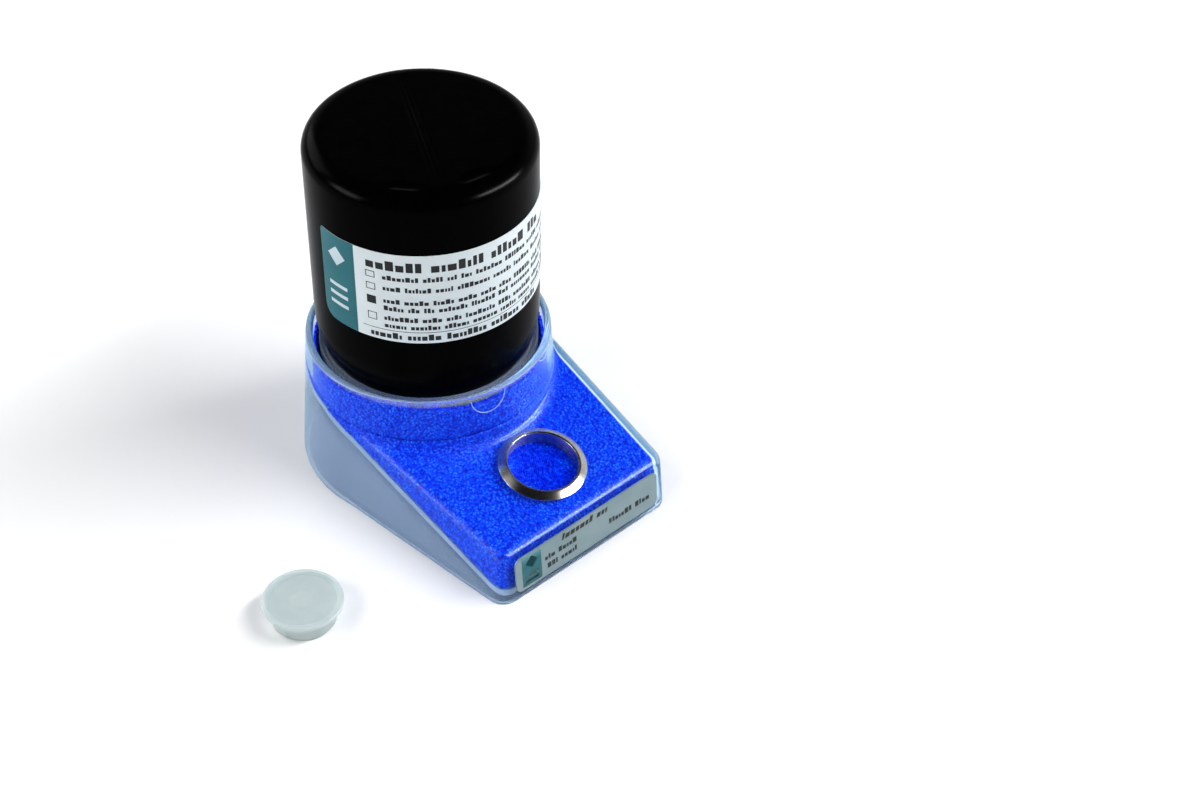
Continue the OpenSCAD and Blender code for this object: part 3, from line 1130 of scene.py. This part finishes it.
for node, material in (
    ("base_plate", FLOOR_SHEET), ("feeder_chute", CHUTE), ("adapter_posts", CHUTE),
    ("screw_adapter", ADAPTER), ("bottle_wax", WAX),
):
    mesh = frame["nodes"][node].data
    mesh.materials.clear()
    mesh.materials.append(material)

# ---------------------------------------------------------------- floor, light and camera

FLOOR = 3.0
FLOOR_DROP = 0.0003  # keeps the floor clear of the pieces that stand on it
mesh = bpy.data.meshes.new("floor")
floor_corners = [(-FLOOR, -FLOOR, 0), (FLOOR, -FLOOR, 0), (FLOOR, FLOOR, 0), (-FLOOR, FLOOR, 0)]
mesh.from_pydata(floor_corners, [], [(0, 1, 2, 3)])
mesh.materials.append(pale_floor())
floor = bpy.data.objects.new("floor", mesh)
floor.location.z = -FLOOR_DROP
bpy.context.scene.collection.objects.link(floor)

TARGET = Vector((0.0292, -0.0368, 0.020))
BACK = Vector((-0.5147, -0.5346, 0.6703)).normalized()  # from the target to the camera
CAMERA_DISTANCE = 0.6087
ROLL = math.radians(1.35)
LENS, SENSOR = 66.92, 36

camera_data = bpy.data.cameras.new("camera")
camera_data.lens = LENS
camera_data.sensor_width = SENSOR
camera_data.clip_start = 0.01
camera = bpy.data.objects.new("camera", camera_data)
bpy.context.scene.collection.objects.link(camera)
turn = (-BACK).to_track_quat("-Z", "Y").to_matrix() @ Matrix.Rotation(ROLL, 3, "Z")
camera.matrix_world = Matrix.Translation(TARGET + CAMERA_DISTANCE * BACK) @ turn.to_4x4()
bpy.context.scene.camera = camera


LAMP_AIM = Vector((0, -0.02, 0.03))


def softbox(name, direction, distance, width, height, power, run=(0, 0, 0)):
    """A soft area light that faces the object. run is the way its width runs, level if not given."""
    data = bpy.data.lights.new(name, "AREA")
    data.shape = "RECTANGLE"
    data.size, data.size_y = width, height
    data.energy = power
    lamp = bpy.data.objects.new(name, data)
    lamp.visible_camera = False
    bpy.context.scene.collection.objects.link(lamp)
    away = Vector(direction).normalized()
    side = (Vector(run) - away * away.dot(run)) if any(run) else Vector((0, 0, 1)).cross(away)
    side.normalize()
    turn = Matrix((side, away.cross(side), away)).transposed()
    lamp.matrix_world = Matrix.Translation(LAMP_AIM + away * distance) @ turn.to_4x4()
    return lamp


# Two boxes that don't show as reflections
key = softbox(
    "key", (0.52, -0.45, 0.72), distance=0.9, width=0.9, height=0.16, power=7.5, run=(0.82, 0.25, -0.44)
)
fill = softbox("fill", (-0.76, 0.12, 0.62), distance=1.1, width=0.9, height=0.6, power=6.0)
for lamp in (key, fill):
    lamp.visible_glossy = False
# Two low boxes that show only as reflections
streak_right = softbox(
    "streak_right", (0.56, -0.77, 0.3), distance=0.9, width=0.72, height=0.13, power=21.0,
    run=(0.82, 0.47, -0.33),
)
streak_left = softbox(
    "streak_left", (-0.87, 0.355, 0.345), distance=0.9, width=0.4, height=0.25, power=6.0
)
for lamp in (streak_right, streak_left):
    lamp.visible_diffuse = False
softbox("back", (-0.2, 0.9, 0.45), distance=1.2, width=0.9, height=0.6, power=5.0)

# A studio that is bright low down on the right, for the reflections, and dark overhead
world = bpy.data.worlds.new("studio")
bpy.context.scene.world = world
world.use_nodes = True
tree = world.node_tree
tree.nodes.clear()
BRIGHT_SIDE = (0.86, 0.5, 0)
direction = add(tree, "TexCoord").outputs["Generated"]
right = add(
    tree, "VectorMath", {0: direction, 1: BRIGHT_SIDE}, operation="DOT_PRODUCT"
).outputs["Value"]
walls = ramp(tree, spread(tree, right, 0.5, 1.0), [(0.5, (0.12, 0.13, 0.15)), (1.0, (0.85, 0.85, 0.85))])
upward = add(tree, "SeparateXYZ", {"Vector": direction}).outputs["Z"]
overhead = ramp(tree, upward, [(0.35, (1, 1, 1)), (0.6, (0.04, 0.04, 0.045))])
both = add(tree, "VectorMath", {0: walls, 1: overhead}, operation="MULTIPLY").outputs["Vector"]
background = add(tree, "Background", {"Color": both, "Strength": 1.0})
tree.links.new(background.outputs["Background"], add(tree, "OutputWorld").inputs["Surface"])

scene = bpy.context.scene
scene.view_settings.view_transform = "Standard"
scene.view_settings.look = "Medium High Contrast"
